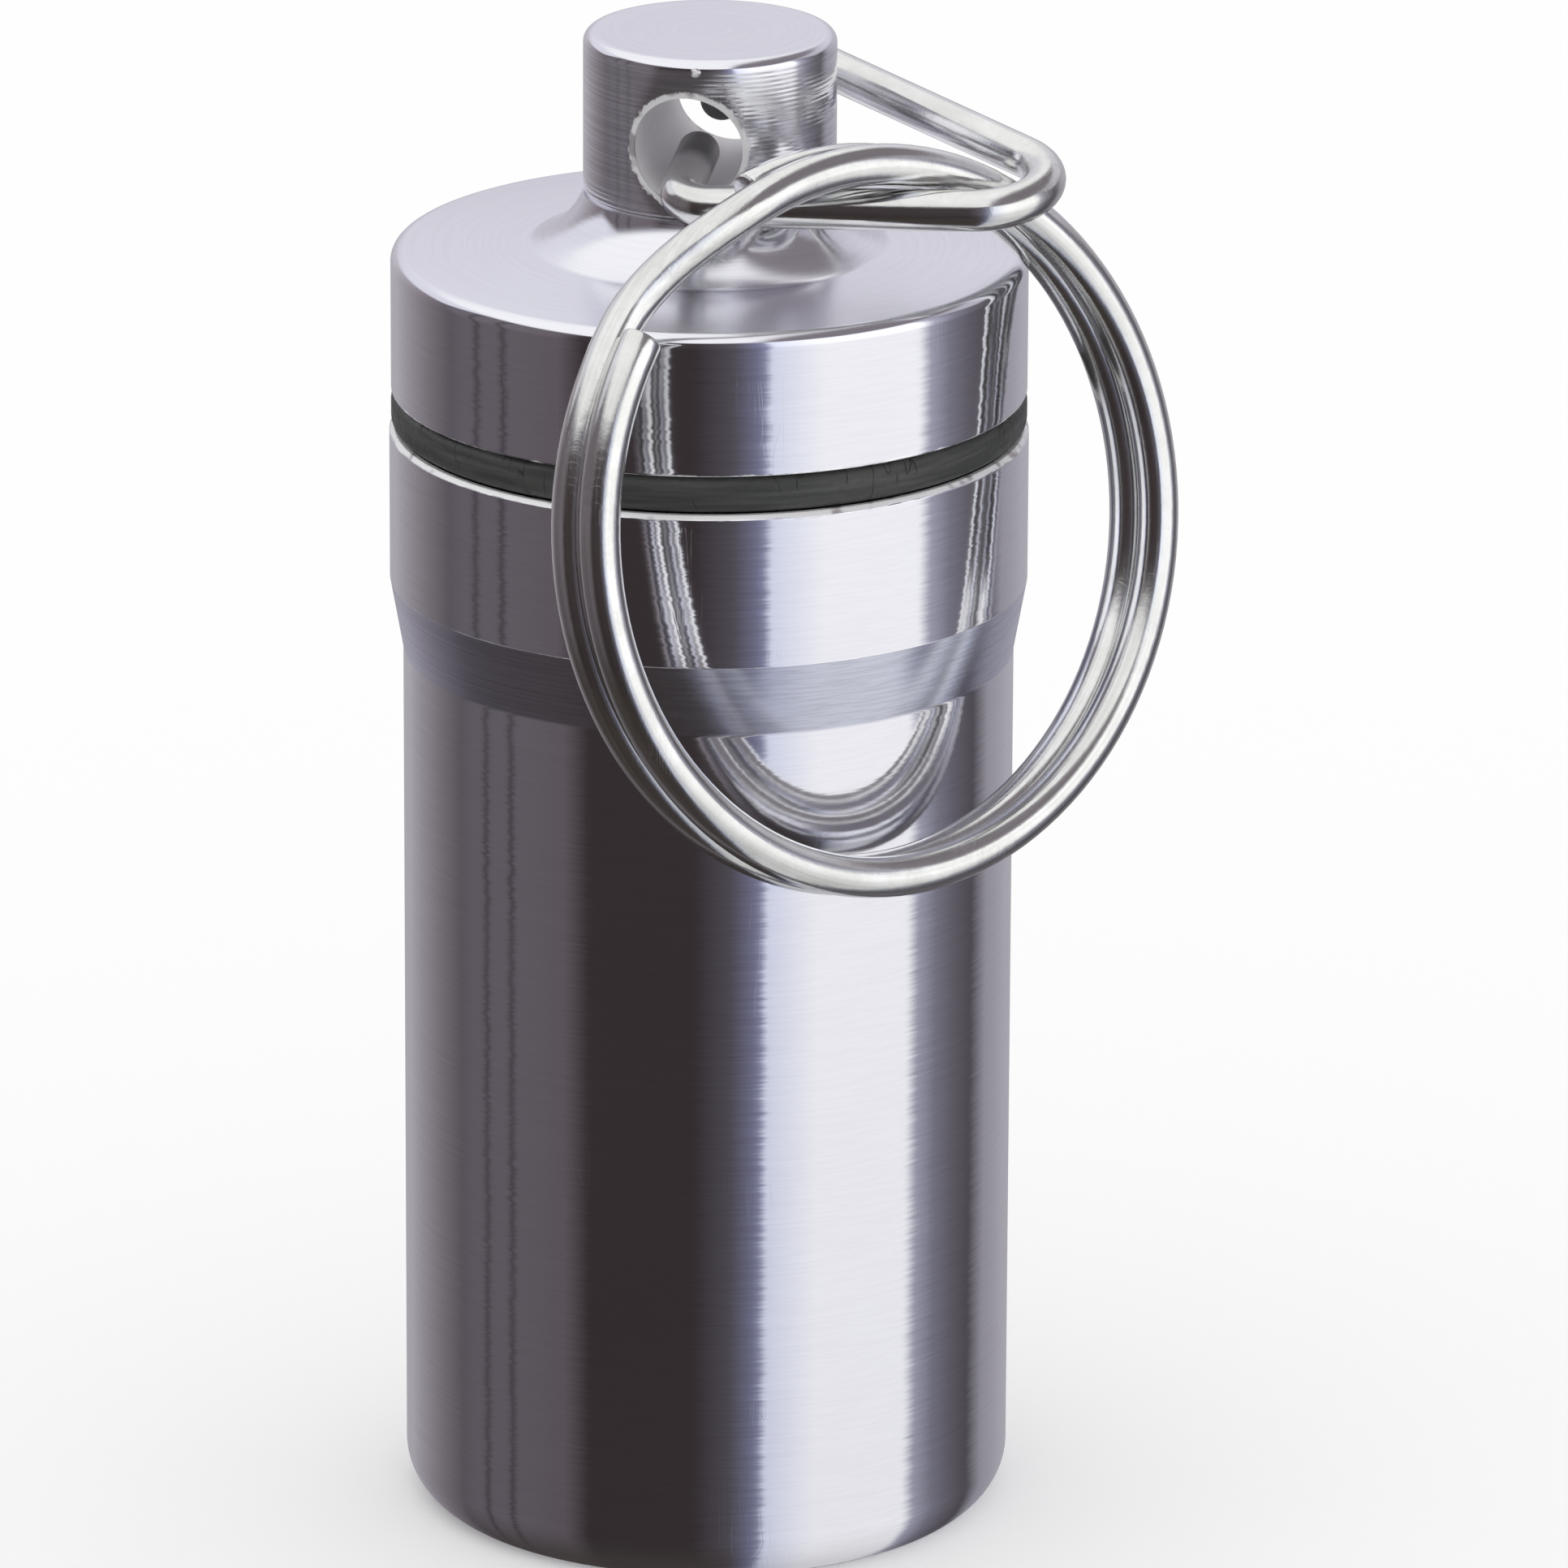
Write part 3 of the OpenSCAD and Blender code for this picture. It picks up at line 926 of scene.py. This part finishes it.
class CAPSULE_OT_tube(bpy.types.Operator):
    """Turns the tube and cuts the thread in its mouth."""

    bl_idname = "capsule.tube"
    bl_label = "Tube"

    def execute(self, context):
        s = context.scene.capsule_tube
        arc_x = s.body_radius - s.foot_round
        arc_z = math.sqrt(s.foot_round**2 - (s.foot_radius - arc_x) ** 2)
        low = -math.degrees(math.asin(arc_z / s.foot_round))
        chamfer = 0.12 * MM
        lead_in = 0.25 * MM
        corners = [(0, 0, 0), (s.foot_radius - FLANK, 0, 0)]
        corners += arc(arc_x, arc_z, s.foot_round, low, 0)
        corners += [
            (s.body_radius, s.taper_bottom, 0.5 * MM),
            (s.collar_radius, s.collar_bottom, 0.25 * MM),
            (s.collar_radius, s.top - chamfer, EASED),
            (s.collar_radius - chamfer, s.top, EASED),
            (s.mouth_radius + lead_in, s.top, EASED),
            (s.mouth_radius, s.top - lead_in, EASED),
            (s.mouth_radius, s.thread_bottom, 0),
            (s.bore_radius, s.thread_bottom, SOFTENED),
            (s.bore_radius, s.floor, 1.0 * MM),
            (0, s.floor, 0),
        ]
        shell = turned("tube_shell", corners)
        finish_piece(shell, "vial", "tube", "tube aluminium")
        ridge = thread_ridge(
            "mouth_thread",
            s.mouth_radius + THREAD_SUNK,
            s.mouth_radius - THREAD_DEPTH,
            s.thread_bottom + 0.75 * MM,
            context.scene.capsule_cap.pitch,
        )
        finish_piece(ridge, "vial", None, "tube aluminium")
        return {"FINISHED"}


class CAPSULE_OT_seal(bpy.types.Operator):
    """Moulds the rubber seal between the tube and the cap."""

    bl_idname = "capsule.seal"
    bl_label = "Seal"

    def execute(self, context):
        s = context.scene.capsule_cap
        low = context.scene.capsule_tube.top + s.seal_gap
        high = s.bottom - s.seal_gap
        corners = [
            (s.seal_inner, (low + high) / 2, 0),
            (s.seal_inner, low, s.seal_round),
            (s.rim_radius, low, s.seal_round),
            (s.rim_radius, high, s.seal_round),
            (s.seal_inner, high, s.seal_round),
            (s.seal_inner, (low + high) / 2, 0),
        ]
        ring = turned("o_ring_rubber", corners, closed=True)
        finish_piece(ring, "seal", "o_ring", "seal rubber")
        return {"FINISHED"}


class CAPSULE_OT_cap(bpy.types.Operator):
    """Turns the cap with its knob and plug, drills the cross hole and cuts the plug's thread."""

    bl_idname = "capsule.cap"
    bl_label = "Cap"

    def execute(self, context):
        s = context.scene.capsule_cap
        face = s.rim_top + s.rim_round
        fillet_radius = s.knob_radius + s.fillet
        fillet_low = face + s.crown
        knob_low = fillet_low + s.fillet
        plug_chamfer = 0.4 * MM
        plug_edge = 0.04 * MM
        mark_radius = s.knob_radius - 0.08 * MM
        mark_top = knob_low + 0.12 * MM
        corners = [
            (0, s.hollow_top, 0),
            (s.hollow_radius, s.hollow_top, 0.2 * MM),
            (s.hollow_radius, s.plug_bottom, 0.1 * MM),
            (s.root_radius - plug_chamfer, s.plug_bottom, plug_edge),
            (s.root_radius, s.plug_bottom + plug_chamfer, plug_edge),
            (s.root_radius, s.neck_bottom, 0),
            (s.neck_radius, s.neck_bottom, plug_edge),
            (s.neck_radius, s.bottom, 0),
            (s.rim_radius, s.bottom, SOFTENED),
            (s.rim_radius, face, s.rim_round),
            (fillet_radius + 0.03 * MM, fillet_low, 0),
        ]
        corners += flare_arc((s.knob_radius, knob_low), (fillet_radius, fillet_low), s.flare_bend)
        corners += [
            (mark_radius, knob_low, 0),
            (mark_radius, mark_top, 0),
            (s.knob_radius, mark_top, EASED),
            (s.knob_radius, s.top, 0.3 * MM),
            (0, s.top, 0),
        ]
        shell = turned("cap_shell", corners)
        self.drill(shell, s)
        finish_piece(shell, "screw_cap", "cap", "cap aluminium")
        ridge = thread_ridge(
            "cap_thread",
            s.root_radius - THREAD_SUNK,
            s.root_radius + THREAD_DEPTH,
            s.plug_bottom + 0.45 * MM,
            s.pitch,
        )
        finish_piece(ridge, "screw_cap", None, "cap aluminium")
        return {"FINISHED"}

    def drill(self, shell, s):
        """Takes the cross hole out of the knob and eases its two mouths."""
        only_object_mode()
        bpy.ops.mesh.primitive_cylinder_add(
            vertices=96,
            radius=s.hole_radius,
            depth=2.4 * s.knob_radius,
            location=(0, 0, s.hole_height),
            rotation=(math.pi / 2, 0, 0),
        )
        drill = bpy.context.object
        make_active(shell)
        bpy.ops.object.modifier_add(type="BOOLEAN")
        cut = shell.modifiers[-1]
        cut.operation = "DIFFERENCE"
        cut.solver = "EXACT"
        cut.object = drill
        bpy.ops.object.modifier_apply(modifier=cut.name)
        bpy.data.objects.remove(drill, do_unlink=True)
        edit("EDGE", "DESELECT")
        bpy.ops.object.mode_set(mode="OBJECT")
        rim_slack = 0.004 * MM
        wall = s.knob_radius - 0.01 * MM
        spots = shell.data.vertices
        for edge in shell.data.edges:
            ends = [spots[i].co for i in edge.vertices]
            off = [abs(math.hypot(p.x, p.z - s.hole_height) - s.hole_radius) for p in ends]
            edge.select = max(off) < rim_slack and all(math.hypot(p.x, p.y) > wall for p in ends)
        bpy.ops.object.mode_set(mode="EDIT")
        bpy.ops.mesh.bevel(offset=DEBURRED, segments=2, affect="EDGES", clamp_overlap=True)
        bpy.ops.mesh.select_all(action="SELECT")
        bpy.ops.mesh.normals_make_consistent(inside=False)
        rest(shell)


class CAPSULE_OT_link(bpy.types.Operator):
    """Bends the wire link whose hooks sit in the knob's cross hole."""

    bl_idname = "capsule.link"
    bl_label = "Link"

    def execute(self, context):
        s = context.scene.capsule_wires
        near = Vector((s.hook_bend, -s.near_hook, 0))
        far = Vector((s.hook_bend, s.far_hook, 0))
        tip = Vector((s.tip_x, s.tip_y, 0))
        slack = s.tip_bend - s.hook_bend
        near_angle = math.atan2(*(tip - near).yx) - math.asin(slack / (tip - near).length)
        far_angle = math.atan2(*(tip - far).yx) + math.asin(slack / (tip - far).length)
        near_out = Vector((math.sin(near_angle), -math.cos(near_angle), 0))
        far_out = Vector((-math.sin(far_angle), math.cos(far_angle), 0))
        up = (0, 0, 1)
        start = (0, -s.hook_reach, 0)
        end = (0, s.hook_reach, 0)
        wire = wire_section("link_wire", s.link_radius, start, (0, -1, 0))
        draw_out((0, s.hook_reach - s.near_hook, 0))
        bend_wire(near, up, 90 + math.degrees(near_angle), ARC_STEPS)
        draw_out((tip + s.tip_bend * near_out) - (near + s.hook_bend * near_out))
        bend_wire(tip, up, 180 + math.degrees(far_angle - near_angle), 2 * ARC_STEPS)
        draw_out((far + s.hook_bend * far_out) - (tip + s.tip_bend * far_out))
        bend_wire(far, up, 90 - math.degrees(far_angle), ARC_STEPS)
        draw_out((0, s.hook_reach - s.far_hook, 0))
        ease_cut_ends(wire, [start, end], 0.12 * MM)
        only_object_mode()
        wire.matrix_world = link_pose(s)
        rest(wire)
        finish_piece(wire, "wire_link", "link", "link steel")
        return {"FINISHED"}


class CAPSULE_OT_ring(bpy.types.Operator):
    """Coils the split ring: two turns of wire that change sides between the ends."""

    bl_idname = "capsule.ring"
    bl_label = "Split ring"

    def execute(self, context):
        s = context.scene.capsule_wires
        cross_from, cross_to = RING_CROSSING
        centre, axis = (0, 0, 0), (0, 0, 1)
        lead = math.radians(RING_FRONT_END)
        trail = math.radians(RING_FRONT_END + RING_WIRE_TURN)
        start, end = (
            Vector((s.ring_radius * math.cos(a), s.ring_radius * math.sin(a), height))
            for a, height in ((lead, s.turn_step / 2), (trail, -s.turn_step / 2))
        )
        along = (-math.sin(lead), math.cos(lead), 0)
        wire = wire_section("ring_wire", s.ring_wire, start, along)
        bend_wire(centre, axis, cross_from, RING_STEPS)
        done = 0.0
        for k in range(CROSSING_STEPS):
            share_done = (k + 1) / CROSSING_STEPS
            eased = share_done**2 * (3 - 2 * share_done)
            drop = -s.turn_step * (eased - done)
            done = eased
            bend_wire(centre, axis, (cross_to - cross_from) / CROSSING_STEPS, 1)
            bpy.ops.transform.translate(value=(0, 0, drop))
        bend_wire(centre, axis, RING_WIRE_TURN - cross_to, RING_STEPS)
        ease_cut_ends(wire, [start, end], 0.14 * MM)
        only_object_mode()
        wire.matrix_world = ring_pose()
        rest(wire)
        finish_piece(wire, "key_ring", "split_ring", "ring steel")
        return {"FINISHED"}


class CAPSULE_OT_stage(bpy.types.Operator):
    """Sets the pale floor, the soft studio light and the camera."""

    bl_idname = "capsule.stage"
    bl_label = "Stage"

    def execute(self, context):
        self.floor()
        self.studio(context.scene)
        self.camera(context.scene)
        context.scene.view_settings.view_transform = "Standard"
        return {"FINISHED"}

    def floor(self):
        """A wide pale plane just below the foot, a little brighter to the camera."""
        gap = 0.02 * MM
        only_object_mode()
        bpy.ops.mesh.primitive_plane_add(size=6.0, location=(0, 0, -gap))
        floor = bpy.context.object
        floor.name = "floor"
        material = bpy.data.materials.new("pale floor")
        tree = empty_tree(material)
        seen = add_node(tree, "LightPath").outputs["Is Camera Ray"]
        matt = output(tree, "BsdfDiffuse", {"Color": (0.9, 0.9, 0.9, 1)})
        glow = output(tree, "Emission", {"Color": (0.12, 0.12, 0.12, 1), "Strength": seen})
        both = output(tree, "AddShader", {0: matt, 1: glow})
        add_node(tree, "OutputMaterial", {"Surface": both})
        floor.data.materials.append(material)
        floor.visible_glossy = False

    def studio(self, scene):
        """White for the camera, an even dome for matt surfaces, soft cards for the metal."""
        world = bpy.data.worlds.new("studio")
        scene.world = world
        tree = empty_tree(world)
        plain = (1, 1, 1, 1)
        cards, dome, backdrop = (
            output(tree, "Background", {"Color": tone, "Strength": strength})
            for tone, strength in ((self.surroundings(tree), 1.0), (plain, 0.97), (plain, 1.0))
        )
        path = add_node(tree, "LightPath").outputs
        shiny = output(tree, "MixShader", {0: path["Is Glossy Ray"], 1: dome, 2: cards})
        seen = output(tree, "MixShader", {0: path["Is Camera Ray"], 1: shiny, 2: backdrop})
        add_node(tree, "OutputWorld", {"Surface": seen})
        world.cycles.sampling_method = "NONE"

    def surroundings(self, tree):
        """The tone that the metal mirrors in each direction: two rings of cards and a ceiling."""
        direction = add_node(tree, "TexCoord").outputs["Generated"]
        x, y, z = parts_of(tree, direction)
        azimuth = maths(tree, "ARCTAN2", x, times(tree, y, -1.0))
        turned_to = minus(tree, azimuth, CAMERA_AZIMUTH)
        around = maths(tree, "WRAP", turned_to, math.pi, -math.pi)
        aside = unsigned(tree, around)
        round_way = mapped(tree, around, -math.pi, math.pi, 0.0, 1.0, smooth=False)

        # The low cards darken towards the ground, most of all on the left.
        fade = mapped(tree, z, -0.65, 0.0, 0.64, 1.22, smooth=False)
        low = vector_maths(
            tree, "SCALE", {0: self.card_ring(tree, round_way, LOW_CARDS), "Scale": fade}
        )
        steep_left = times(
            tree, band(tree, around, -1.9, 0.2, 0.12), mapped(tree, z, -0.60, -0.36, 0.8, 0.0)
        )
        low = mixed(tree, steep_left, low, BROWN)

        # The high cards start at a sill, which is lower behind the camera.
        high = self.card_ring(tree, round_way, HIGH_CARDS)
        sill = mapped(tree, aside, 1.55, 2.0, 0.44, 0.16)
        walls = mixed(tree, mapped(tree, z, sill, plus(tree, sill, 0.14)), low, high)

        # The ceiling is a window on the left and dim on the right.
        across = plus(
            tree,
            times(tree, x, math.cos(CAMERA_AZIMUTH)),
            times(tree, y, math.sin(CAMERA_AZIMUTH)),
        )
        ceiling = mixed(tree, mapped(tree, across, 0.20, 0.36), WINDOW, DIM)
        top = mixed(tree, mapped(tree, z, 0.50, 0.62), walls, ceiling)

        # Straight down and away from the camera lies the shade of the object.
        shaded = times(tree, mapped(tree, aside, 1.7, 2.3), fading(tree, z, -0.72, -0.45))
        return mixed(tree, shaded, top, SHADE)

    def card_ring(self, tree, round_way, cards):
        """A ring of soft cards round the object."""
        ramp = add_node(tree, "ValToRGB", {0: round_way})
        while len(ramp.color_ramp.elements) < len(cards):
            ramp.color_ramp.elements.new(0.5)
        for element, (degrees, tone) in zip(ramp.color_ramp.elements, cards):
            element.position = (degrees + 180) / 360
            element.color = (*tone, 1)
        return ramp.outputs["Color"]

    def camera(self, scene):
        """The photo's camera, fitted to the object's circles and edges."""
        forward = Vector((
            math.sin(CAMERA_YAW) * math.cos(CAMERA_TILT),
            math.cos(CAMERA_YAW) * math.cos(CAMERA_TILT),
            -math.sin(CAMERA_TILT),
        ))
        right = forward.cross(Vector((0, 0, 1))).normalized()
        up = right.cross(forward)
        across = math.cos(CAMERA_ROLL) * right + math.sin(CAMERA_ROLL) * up
        upward = math.cos(CAMERA_ROLL) * up - math.sin(CAMERA_ROLL) * right
        columns = Matrix((across, upward, -forward)).transposed().to_4x4()
        spin = Matrix.Rotation(CAMERA_AZIMUTH, 4, "Z")
        bpy.ops.object.camera_add()
        camera = bpy.context.object
        camera.name = "photograph camera"
        camera.data.lens = CAMERA_LENS
        camera.data.sensor_width = 36.0
        camera.data.clip_end = 20.0
        camera.matrix_world = Matrix.Translation(CAMERA_PLACE) @ spin @ columns
        scene.camera = camera


class CAPSULE_PT_panel(bpy.types.Panel):
    """Lists the capsule's sizes, finishes and steps."""

    bl_label = "Keychain capsule"
    bl_idname = "CAPSULE_PT_panel"
    bl_space_type = "VIEW_3D"
    bl_region_type = "UI"
    bl_category = "Capsule"

    def draw(self, context):
        for name in GROUPS:
            box = self.layout.box()
            settings = getattr(context.scene, name)
            for key in settings.__annotations__:
                box.prop(settings, key)
        for step in STEPS:
            self.layout.operator("capsule." + step)


GROUPS = {
    "capsule_tube": CAPSULE_PG_tube,
    "capsule_cap": CAPSULE_PG_cap,
    "capsule_wires": CAPSULE_PG_wires,
    "capsule_finish": CAPSULE_PG_finish,
}
STEPS = ["stage", "finishes", "tube", "seal", "cap", "link", "ring"]
CLASSES = (
    *GROUPS.values(),
    CAPSULE_OT_stage,
    CAPSULE_OT_finishes,
    CAPSULE_OT_tube,
    CAPSULE_OT_seal,
    CAPSULE_OT_cap,
    CAPSULE_OT_link,
    CAPSULE_OT_ring,
    CAPSULE_PT_panel,
)


def register():
    for item in CLASSES:
        bpy.utils.register_class(item)
    for name, settings in GROUPS.items():
        setattr(bpy.types.Scene, name, bpy.props.PointerProperty(type=settings))


def unregister():
    for name in GROUPS:
        delattr(bpy.types.Scene, name)
    for item in reversed(CLASSES):
        bpy.utils.unregister_class(item)


def main():
    register()
    for step in STEPS:
        getattr(bpy.ops.capsule, step)()


if __name__ == "__main__":
    main()
